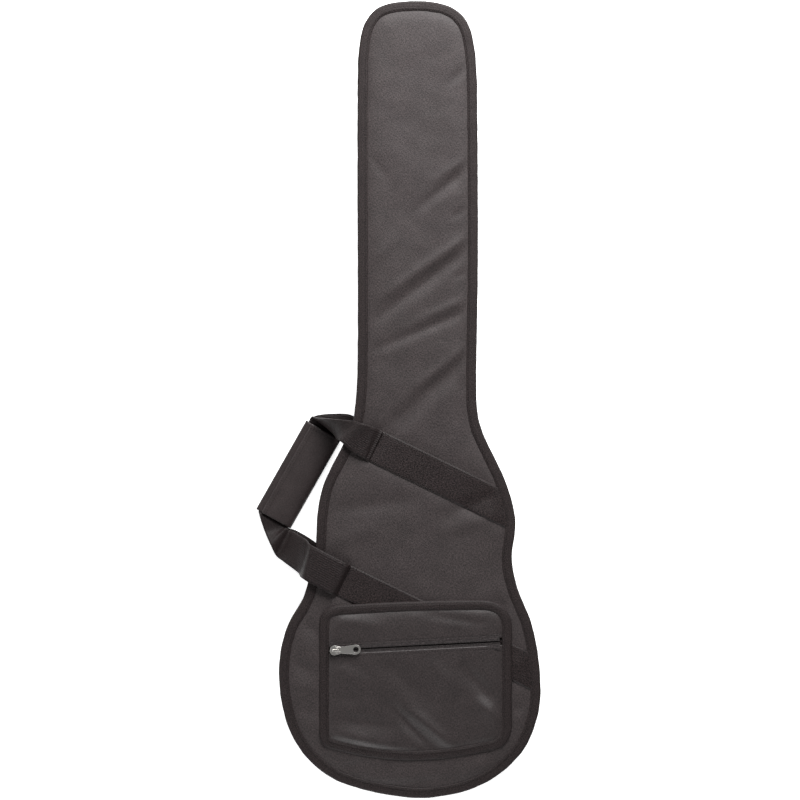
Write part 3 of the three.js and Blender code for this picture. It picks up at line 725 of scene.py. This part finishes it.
def lining_height(x, y):
    d = rim.distance(x, y)
    rise = 1 - math.exp(-max(0.0, d - 11) / 9)
    return 9.3 - 4.2 * (1 - rise) + 0.5 * ripple(x, y, 45, 21) * rise


def front_lining_height(x, y):
    return HEIGHT - lining_height(x, y)


back_lining = panel("back_lining_cloth", rim.inset(LINING_INSET), lining_height, step=6, columns=48)
thicken(back_lining, 0.8)
paint(back_lining, LINING)
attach(back_lining, "back_shell")
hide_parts("back_lining", "back_foam")
front_lining = panel(
    "front_lining_cloth",
    rim.inset(LINING_INSET),
    front_lining_height,
    step=6,
    columns=48,
    facing_up=False,
)
thicken(front_lining, 0.8)
paint(front_lining, LINING)
across_fold(front_lining)
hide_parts("front_lining", "front_foam", "spine_lining", "spine_foam")

MAIN_TEETH = {"pitch": 1.9, "length": 1.3, "width": 2.5, "depth": 1.7}
back_coil = [outer_path(rim, ZIP_RUN, 9.0, 28.2)]
back_teeth = rows_along("back_zip_teeth", back_coil, COIL, **MAIN_TEETH)
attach(back_teeth, "back_shell")
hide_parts("back_zip_coil")
front_coil = [outer_path(rim, ZIP_RUN, 9.0, 31.8)[1:]]  # a step later, so the teeth are staggered
front_teeth = rows_along("front_zip_teeth", front_coil, COIL, **MAIN_TEETH)
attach(front_teeth, "front_panel")
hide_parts("front_zip_coil")


# ---- straps sewn down ------------------------------------------------------------------------
def sewn_strap(name, centre, left, right, height, up=1, columns=14):
    """A strap lying on a panel from an x on its left, its edges pulled down by their stitching.
    Its right-hand end goes under the binding, along the line of the rim."""
    start = np.array((left, run_height(left, centre)))
    length = (right - left) / ALONG_RUN[0]
    steps = int(length / 3)
    verts, uvs = [], []
    across_strap = [(k / columns - 0.5) * (WEB_W - 1) for k in range(columns + 1)]
    reaches = []
    for v in across_strap:
        reach = length - 60
        while rim.distance(*(start + ALONG_RUN * reach + ACROSS_RUN * v)) > 10 and reach < length + 40:
            reach += 1
        reaches.append(reach)
    for i in range(steps + 1):
        for v, reach in zip(across_strap, reaches):
            s = reach * i / steps
            x, y = start + ALONG_RUN * s + ACROSS_RUN * v
            crown = 0.8 * (1 - (2 * v / WEB_W) ** 8) + 0.12 * ripple(s, v, 7, centre)
            verts.append((x, y, height(x, y) + up * crown))
            uvs.append((s, v))
    faces = grid_faces(steps + 1, columns + 1)
    if up > 0:
        faces = [f[::-1] for f in faces]
    return thicken(new_object(name, verts, faces, uvs), 1.5)


def on_front(x, y):
    """What a strap on the front panel is laid out from. Near the rim it stays as it is 9 mm in."""
    return front_height(x, y, max(rim.distance(x, y), 9.0)) + 0.45


upper_front = paint(sewn_strap("upper_sewn_strap", UPPER_RUN, -47, 121, on_front), WEBBING)
across_fold(upper_front)
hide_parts("front_webbing_upper")
lower_front = paint(sewn_strap("lower_sewn_strap", LOWER_RUN, -90.5, 160, on_front), WEBBING)
across_fold(lower_front)
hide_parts("front_webbing_lower", "spine_webbing")


def on_back(x, y):
    return 0.85


for label, centre, left, right in (("upper", UPPER_RUN, -84, 118), ("lower", LOWER_RUN, -127, 157)):
    made = paint(sewn_strap(f"{label}_back_strap", centre, left, right, on_back, up=-1), WEBBING)
    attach(made, "back_shell")
    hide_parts(f"back_webbing_{label}")


# ---- carry loops -----------------------------------------------------------------------------
WRAP_TOP = np.array((-119.2, 343.6))
WRAP_END = np.array((-187.5, 223.2))
WRAP_ALONG = (WRAP_TOP - WRAP_END) / np.hypot(*(WRAP_TOP - WRAP_END))
WRAP_ACROSS = np.array((WRAP_ALONG[1], -WRAP_ALONG[0]))  # towards the bag
WRAP_MIDDLE = (WRAP_TOP + WRAP_END) / 2


def across(x, y, z, direction, sign=1):
    """A station square across a straight stretch of strap: its inner edge, then its outer."""
    dx, dy = sign * np.asarray(direction) * (WEB_W - 1) / 2
    return [(x - dx, y - dy, z), (x + dx, y + dy, z)]


def in_wrap(t, z):
    """A station inside the wrap, t of the way along it."""
    x, y = WRAP_TOP + (WRAP_END - WRAP_TOP) * t
    return across(x, y, z, -WRAP_ACROSS)


def strap_y(centre, x):
    """The place on a sewn strap's middle at x."""
    return (x, run_height(x, centre))


def ribbon(name, stations, steps, columns=12, thickness=1.6):
    """A strap through stations, each its inner and its outer edge."""
    inner = catmull([s[0] for s in stations], steps)
    outer = catmull([s[1] for s in stations], steps)
    middle = (inner + outer) / 2
    run = np.concatenate([[0], np.cumsum(np.linalg.norm(np.diff(middle, axis=0), axis=1))])
    verts, uvs = [], []
    for i in range(steps):
        for k in range(columns + 1):
            t = k / columns
            place = inner[i] + (outer[i] - inner[i]) * t
            place[2] = max(place[2], thickness / 2 + 0.1)
            verts.append(place)
            uvs.append((run[i], (t - 0.5) * WEB_W))
    made = new_object(name, verts, grid_faces(steps, columns + 1), uvs)
    return outward(thicken(made, thickness, offset=0))


FRONT_LOOP = [
    across(*strap_y(UPPER_RUN, -47.2), 63.0, ACROSS_RUN),
    across(*strap_y(UPPER_RUN, -51), 62.9, ACROSS_RUN),
    [(-62, 305.5, 64.5), (-48, 347, 66.5)],
    [(-80, 316, 66), (-54, 349.5, 69)],
    [(-91, 326.5, 65.5), (-61, 351.5, 72)],
    [(-94.5, 329, 63), (-65.5, 353, 72.5)],
    [(-96.5, 330.5, 60), (-73, 355.5, 68)],
    [(-98.5, 331.5, 50), (-93, 357.5, 60)],
    [(-100.5, 333, 32), (-114, 359, 43)],
    [(-101.5, 335, 14), (-128, 360, 20)],
    [(-101.5, 336.5, 7), (-135, 361, 9)],
    in_wrap(0.01, 5.6),
    in_wrap(0.1, 5.6),
    in_wrap(0.9, 5.6),
    in_wrap(0.99, 5.6),
    [(-166.5, 210.5, 8), (-205.5, 228, 8.5)],
    [(-167.5, 210, 10), (-197.5, 204, 10)],
    [(-169.5, 210.3, 15.5), (-189.5, 187.5, 19)],
    [(-168.5, 210, 15.5), (-186.5, 181, 18)],
    [(-164, 208, 13.5), (-182, 172.5, 13.5)],
    [(-156, 204, 20), (-172, 165.5, 21)],
    [(-140.5, 195.5, 37), (-151, 151.5, 37)],
    [(-136.5, 192.5, 55), (-147.5, 148, 55)],
    [(-133.5, 191, 63.5), (-144, 146, 63.5)],
    [(-126, 187.5, 66.5), (-137, 141.5, 66.5)],
    [(-110, 179, 69), (-121, 133.5, 69)],
    [(-95, 171.5, 69), (-107, 126, 69)],
    across(*strap_y(LOWER_RUN, -94.5), 67.8, ACROSS_RUN, -1),
    across(*strap_y(LOWER_RUN, -91.5), 64.6, ACROSS_RUN, -1),
    across(*strap_y(LOWER_RUN, -90), 62.8, ACROSS_RUN, -1),
]
front_loop = paint(ribbon("front_carry_loop", FRONT_LOOP, 300), LOOP_WEBBING)
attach(front_loop, "front_handle")
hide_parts("front_handle")

BACK_LOOP = [
    across(*strap_y(UPPER_RUN, -82), 0.9, ACROSS_RUN),
    [(-92, 328, 1.3), (-84, 364.5, 1.3)],
    [(-97, 336, 2.8), (-104, 365.5, 2.8)],
    [(-99.5, 337, 3.4), (-131, 362, 3.4)],
    in_wrap(0.01, 3.4),
    in_wrap(0.1, 3.4),
    in_wrap(0.9, 3.4),
    in_wrap(0.99, 3.4),
    [(-166, 210, 3.4), (-200, 210, 3.4)],
    [(-158, 207.5, 3), (-181, 172, 3)],
    [(-139, 197, 2.2), (-158, 155, 1.8)],
    across(*strap_y(LOWER_RUN, -129), 0.9, ACROSS_RUN, -1),
]
back_loop = paint(ribbon("back_carry_loop", BACK_LOOP, 160), LOOP_WEBBING)
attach(back_loop, "back_handle")
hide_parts("back_handle")


# ---- the padded wrap round both loops --------------------------------------------------------
HALF_WRAP = 69.0


def wrapped(name, section, half_length=HALF_WRAP, steps=70, swell=0.0, seed=0.0):
    """A closed section, as (across, height), carried along the wrap, with a soft edge at each end."""
    section = np.asarray(section, float)
    centre = section.mean(axis=0)
    edges = np.hypot(*np.diff(np.vstack([section, section[:1]]), axis=0).T)
    girth = np.concatenate([[0], np.cumsum(edges)[:-1]])
    verts, uvs = [], []
    for i in range(steps + 1):
        b = half_length * -math.cos(math.pi * i / steps) * 0.35 + half_length * (2 * i / steps - 1) * 0.65
        ease = max(0.0, (abs(b) - half_length + 1.2) / 1.2)
        for (a, z), v in zip(section, girth):
            z = centre[1] + (z - centre[1]) * (1 - 0.35 * ease)
            z += swell * ripple(b, a, 24, seed) + swell * 0.4 * ripple(b, a, 8, seed + 2)
            x, y = WRAP_MIDDLE + WRAP_ACROSS * a + WRAP_ALONG * b
            verts.append((x, y, max(z, 0.1)))
            uvs.append((b, v))
    n = len(section)
    faces = grid_faces(steps + 1, n, close_columns=True)
    faces += [tuple(range(n)), tuple(range(steps * n, (steps + 1) * n))[::-1]]
    return outward(new_object(name, verts, faces, uvs))


def around(line, thickness):
    """A closed section of even thickness below a line of (across, height) points."""
    line = catmull([(a, z, 0) for a, z in line], len(line) * 3)[:, :2]
    along = np.gradient(line, axis=0)
    along /= np.hypot(*along.T)[:, None]
    under = line - np.stack([-along[:, 1], along[:, 0]], 1) * thickness
    return np.vstack([line, under[::-1]])


BASE_LINE = [(-25.5, 2.0), (-15, 2.0), (0, 2.1), (15, 2.0), (23, 2.1), (25.4, 3.2), (25.9, 5.4)]
wrap_base = paint(wrapped("wrap_base_cloth", around(BASE_LINE, 1.8)), WRAP_CLOTH)
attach(wrap_base, "back_handle")
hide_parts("wrap_base")
TAB_LINE = [(-25.8, 3), (-26.2, 5), (-25.4, 8.0), (-22.5, 9.0), (-14, 8.8), (-2, 8.3)]
wrap_tab = paint(wrapped("wrap_tab_cloth", around(TAB_LINE, 1.2), swell=0.15, seed=31), WRAP_CLOTH)
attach(wrap_tab, "back_handle")
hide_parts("wrap_tab")
FLAP_LINE = [
    (-17.4, 11.8), (-16.4, 12.6), (-11, 13.3), (-7, 13.4), (0, 14.3), (8, 14.6), (15, 14.1),
    (21, 12.8), (25, 10.8), (26.8, 8.9), (27.0, 8.0),
]
wrap_flap = paint(wrapped("wrap_flap_cloth", around(FLAP_LINE, 2.0), swell=0.35, seed=37), WRAP_CLOTH)
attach(wrap_flap, "wrap_flap")
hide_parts("wrap_flap")


def patch(name, low):
    """A strip of hook-and-loop tape, with its underside at a height."""
    section = [(-15.8, low), (-15.8, low + 0.75), (-2.2, low + 0.75), (-2.2, low)]
    return paint(wrapped(name, section, half_length=62), HOOK_LOOP)


loop_patch = patch("wrap_loop_tape", 9.0)
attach(loop_patch, "back_handle")
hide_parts("wrap_loop_patch")
hook_patch = patch("wrap_hook_tape", 9.9)
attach(hook_patch, "wrap_flap")
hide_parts("wrap_hook_patch")


def wrap_path(a0, b0, a1, b1, z, count=30):
    """A path on the wrap, from and to places given as across it and along it."""
    path = []
    for k in range(count):
        a, b = a0 + (a1 - a0) * k / (count - 1), b0 + (b1 - b0) * k / (count - 1)
        x, y = WRAP_MIDDLE + WRAP_ACROSS * a + WRAP_ALONG * b
        path.append(((x, y, z), UP))
    return path


flap_rows = [
    wrap_path(-14.8, -66, -14.8, 66, 13.0),
    wrap_path(-11.4, -66, -11.4, 66, 13.4),
    wrap_path(-15, 63.5, -7, 63.5, 13.5, 8),
    wrap_path(-7, 63.5, 2, 63.5, 14.5, 8),
    wrap_path(2, 63.5, 15, 63.5, 14.7, 10),
]
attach(stitches("wrap_flap_stitches", flap_rows), "wrap_flap")
tab_rows = [wrap_path(-23.4, -66, -23.4, 66, 9.0)]
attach(stitches("wrap_tab_stitches", tab_rows), "back_handle")


# ---- the accessory pocket --------------------------------------------------------------------
def bezier(points, corner, end, count=12):
    """Goes on from the last point in a curve towards the corner and then to the end."""
    start = np.array(points[-1], float)
    corner, end = np.array(corner, float), np.array(end, float)
    for k in range(1, count + 1):
        t = k / count
        points.append((1 - t) ** 2 * start + 2 * t * (1 - t) * corner + t * t * end)


def straight(points, end):
    """Goes on from the last point in a straight line, a point about every 8 mm."""
    start = np.array(points[-1], float)
    count = max(2, int(np.hypot(*(np.array(end) - start)) / 8))
    for k in range(1, count + 1):
        points.append(start + (np.array(end) - start) * k / count)


def pocket_outline():
    points = [np.array((-122.0, -62.0))]
    straight(points, (-122, 86))
    bezier(points, (-121, 107), (-98, 110))
    bezier(points, (0, 117), (96, 117))
    bezier(points, (131, 115), (134, 84))
    straight(points, (134, -52))
    bezier(points, (133, -73), (116, -80))
    bezier(points, (0, -112), (-108, -80))
    bezier(points, (-121, -77), (-122, -62))
    return np.array(points[:-1])[::-1]


pocket_rim = Rim(pocket_outline(), step=2.0)
ZIP_LEFT = np.array((-112.0, 50.5))
ZIP_RIGHT = np.array((117.0, 62.5))
ZIP_LENGTH = np.hypot(*(ZIP_RIGHT - ZIP_LEFT))
ZIP_ALONG = (ZIP_RIGHT - ZIP_LEFT) / ZIP_LENGTH
ZIP_ACROSS = np.array((-ZIP_ALONG[1], ZIP_ALONG[0]))
ZIP_GAP = 4.9  # the cloth stops this far from the zip's middle
# Creases of the pocket, as FRONT_FOLDS.
POCKET_FOLDS = [
    ((-26, -24), (40, -92), 9, -5.0),
    ((0, -30), (58, -78), 8, 3.0),
    ((-108, -58), (-6, -84), 9, 3.4),
    ((-96, -40), (-16, -52), 9, -2.2),
    ((70, 30), (106, -14), 10, -3.6),
    ((90, -18), (126, -50), 8, 3.2),
    ((96, -68), (118, -78), 7, 2.4),
    ((-34, 34), (22, -20), 14, -2.2),
    ((26, 36), (62, -6), 11, 1.8),
    ((-112, 34), (-60, 6), 10, 1.6),
    ((-116, -10), (-70, -16), 8, -1.2),
    ((20, 100), (90, 88), 7, -1.6),
    ((-100, 94), (-40, 84), 8, 1.4),
    ((-110, 80), (-96, 100), 5, -1.6),
]


def pocket_height(x, y):
    inside = 1 - math.exp(-max(0.0, pocket_rim.distance(x, y) - SEAM_INSET) / 8)
    height = 64.4 + PUFF * inside
    from_zip = abs(float(np.dot((x, y) - ZIP_LEFT, ZIP_ACROSS)))
    slack = inside * min(1.0, max(0.0, from_zip - 10) / 16)
    for (a, b, width, depth) in POCKET_FOLDS:
        height += slack * fold(x, y, *a, *b, width, depth)
    height += slack * (0.8 * ripple(x, y, 42, 41) + 0.3 * ripple(x, y, 16, 43))
    # The cloth rolls down where it is turned under beside the zip, and dips at its stitching.
    height -= 0.25 * math.exp(-(((from_zip - 8.9) / 0.9) ** 2))
    height -= 0.3 * max(0.0, (6.2 - from_zip) / 1.3) ** 2
    return height


def pocket_panel(name, side):
    """The pocket's cloth above its zip, side 1, or below it, side -1."""
    ring = pocket_rim.inset(8) - ZIP_LEFT
    u, v = ring @ ZIP_ALONG, ring @ ZIP_ACROSS
    turned = np.stack([v, u], 1)  # so that interval() cuts it along the zip's own lines
    columns, rows = 112, 44
    verts, uvs = [], []
    for i in range(columns + 1):
        t = i / columns
        t = 0.7 * t + 0.3 * (0.5 - 0.5 * math.cos(math.pi * t))
        at = u.min() + 0.4 + (u.max() - u.min() - 0.8) * t
        low, high = interval(turned, at)
        far = max(high, 6.2) if side > 0 else min(low, -6.2)
        for k in range(rows + 1):
            off = side * ZIP_GAP + (far - side * ZIP_GAP) * (k / rows) ** 1.25
            x, y = ZIP_LEFT + ZIP_ALONG * at + ZIP_ACROSS * off
            verts.append((x, y, pocket_height(x, y)))
            uvs.append((x, y))
    faces = grid_faces(columns + 1, rows + 1)
    made = new_object(name, verts, faces, uvs)
    if made.data.polygons[columns * rows // 2].normal.z < 0:
        made.data.flip_normals()
    return thicken(made, 1.0)


upper_pocket = paint(pocket_panel("pocket_upper_cloth", 1), POCKET_NYLON)
across_fold(upper_pocket)
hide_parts("pocket_upper_panel", "spine_pocket_cloth")
lower_pocket = paint(pocket_panel("pocket_lower_cloth", -1), POCKET_NYLON)
across_fold(lower_pocket)
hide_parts("pocket_lower_panel")
POCKET_SECTION = [
    (12.9, 63.8), (12.6, 64.9), (11.6, 65.6), (6, 65.5), (2.2, 65.2), (0.3, 64.2), (-0.3, 62.8),
    (0.6, 61.4), (6, 61.2), (11.6, 61.6),
]
pocket_tape = band("pocket_binding_tape", pocket_rim, POCKET_SECTION, waver=0.5, seed=9)
paint(pocket_tape, BINDING)
across_fold(pocket_tape)
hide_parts("pocket_binding", "spine_pocket_binding")


def beside_zip(name, low, high, z0, z1, start, end, material):
    """A flat strip along the pocket's zip, as a box with steps along it."""
    verts, uvs = [], []
    steps = 40
    for i in range(steps + 1):
        at = start + (end - start) * i / steps
        for off, z in ((low, z0), (high, z0), (high, z1), (low, z1)):
            x, y = ZIP_LEFT + ZIP_ALONG * at + ZIP_ACROSS * off
            verts.append((x, y, z))
            uvs.append((at, off + z))
    last = 4 * steps
    faces = grid_faces(steps + 1, 4, close_columns=True)
    faces += [(0, 1, 2, 3), (last + 3, last + 2, last + 1, last)]
    return paint(outward(new_object(name, verts, faces, uvs, smooth=False)), material)


def zip_path(off, z, start, end, count=60):
    """A path beside the pocket's zip."""
    path = []
    for k in range(count):
        x, y = ZIP_LEFT + ZIP_ALONG * (start + (end - start) * k / (count - 1)) + ZIP_ACROSS * off
        path.append(((x, y, z), UP))
    return path


POCKET_TEETH = {"pitch": 1.6, "length": 1.1, "width": 1.9, "depth": 1.1}
for label, sign in (("upper", 1), ("lower", -1)):
    low, high = sorted((sign * 0.9, sign * 10.5))
    name = f"pocket_{label}_zip_tape"
    strip = beside_zip(name, low, high, 66.6, 67.4, 4.6, ZIP_LENGTH + 1, ZIP_TAPE)
    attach(strip, "front_panel")
    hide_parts(f"pocket_tape_{label}")
    first_tooth = 5 + 0.8 * (sign > 0)  # the two rows mesh, half a tooth apart
    coil = [zip_path(sign * 1.6, 67.6, first_tooth, ZIP_LENGTH)]
    teeth = rows_along(f"pocket_{label}_zip_teeth", coil, COIL, **POCKET_TEETH)
    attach(teeth, "front_panel")
    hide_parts(f"pocket_coil_{label}")


# ---- stitching -------------------------------------------------------------------------------
def strap_rows(centre, left, right):
    """A row of stitches along both edges of a sewn strap, and two across its left-hand end."""
    rows = []
    for v in (-WEB_W / 2 + 3, WEB_W / 2 - 3):
        path = []
        for k in range(70):
            x = left + (right - left) * k / 69
            x, y = np.array((x, run_height(x, centre))) + ACROSS_RUN * v
            path.append(((x, y, on_front(x, y) + 0.55), UP))
        rows.append(path)
    for s in (3, 8):
        path = []
        for k in range(20):
            v = (k / 19 - 0.5) * (WEB_W - 4)
            x, y = np.array((left, run_height(left, centre))) + ALONG_RUN * s + ACROSS_RUN * v
            path.append(((x, y, on_front(x, y) + 0.6), UP))
        rows.append(path)
    return rows


front_rows = [
    rim_path(rim, ALL, 10.4, 61.5),
    *strap_rows(UPPER_RUN, -46, 118),
    *strap_rows(LOWER_RUN, -89, 158),
    rim_path(pocket_rim, range(len(pocket_rim.points)), 9.8, 66.6),
    zip_path(8.9, 67.6, 2, ZIP_LENGTH - 2),
    zip_path(-8.9, 67.6, 2, ZIP_LENGTH - 2),
]
across_fold(stitches("front_stitches", front_rows))
back_rows = [rim_path(rim, ALL, 10.4, 0.25), outer_path(rim, ZIP_RUN, 7.9, 19.4)]
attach(stitches("back_stitches", back_rows), "back_shell")
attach(stitches("front_gusset_stitches", [outer_path(rim, ZIP_RUN, 7.9, 40.6)]), "front_panel")


# ---- sliders ---------------------------------------------------------------------------------
# Each CAD node and the body that carries it.
SLIDERS = {
    "pocket_slider": "pocket_slider",
    "pocket_pull": "pocket_pull",
    "zip_slider_upper": "upper_slider",
    "zip_pull_upper": "upper_pull",
    "zip_slider_lower": "lower_slider",
    "zip_pull_lower": "lower_pull",
}


def rounded_copy(name):
    """A CAD solid's shape with its edges rounded, as a casting's are."""
    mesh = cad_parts[name].data.copy()
    work = bmesh.new()
    work.from_mesh(mesh)
    bmesh.ops.remove_doubles(work, verts=work.verts, dist=1e-6)
    bmesh.ops.dissolve_limit(work, angle_limit=0.02, verts=work.verts, edges=work.edges)
    work.to_mesh(mesh)
    work.free()
    made = bpy.data.objects.new(f"{name}_cast", mesh)
    bpy.context.scene.collection.objects.link(made)
    edge = made.modifiers.new("Edge", "BEVEL")
    edge.width = 0.3 * MM
    edge.segments = 2
    edge.limit_method = "ANGLE"
    return paint(apply_modifiers(made), NICKEL)


for name, body in SLIDERS.items():
    cast = rounded_copy(name)
    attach(cast, body)
    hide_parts(name)


# ---- room ------------------------------------------------------------------------------------
FLOOR_Z = -0.0004  # metres; just under the bag, so that no face of the bag lies in the floor


def make_room():
    bpy.ops.mesh.primitive_plane_add(size=30, location=(0, 0, FLOOR_Z))
    floor = bpy.context.object
    floor.name = "floor"
    paper = plain("white paper floor", "#f6f6f6", 0.9)
    shader = paper.node_tree.nodes["Principled BSDF"]
    shader.inputs["Emission Color"].default_value = (1, 1, 1, 1)
    shader.inputs["Emission Strength"].default_value = 0.7  # keeps the paper white all over
    paint(floor, paper)
    world = bpy.data.worlds.new("studio")
    world.use_nodes = True
    sky = world.node_tree.nodes["Background"]
    sky.inputs["Color"].default_value = (1, 1, 1, 1)
    sky.inputs["Strength"].default_value = 0.22
    bpy.context.scene.world = world
    bpy.context.scene.view_settings.view_transform = "Standard"
    area_light("neck light", (0.35, 2.1, 1.15), (0, 0.75, 0), 1.5, 118)
    area_light("side light", (-2.0, 0.0, 1.3), (0, 0.1, 0), 1.2, 10)
    area_light("foot light", (-0.25, -1.5, 0.55), (0, -0.1, 0), 0.8, 17)


def area_light(name, place, target, size, power):
    data = bpy.data.lights.new(name, "AREA")
    data.size = size
    data.energy = power
    light = bpy.data.objects.new(name, data)
    bpy.context.scene.collection.objects.link(light)
    light.location = place
    light.rotation_euler = (Vector(target) - Vector(place)).to_track_quat("-Z", "Y").to_euler()


make_room()
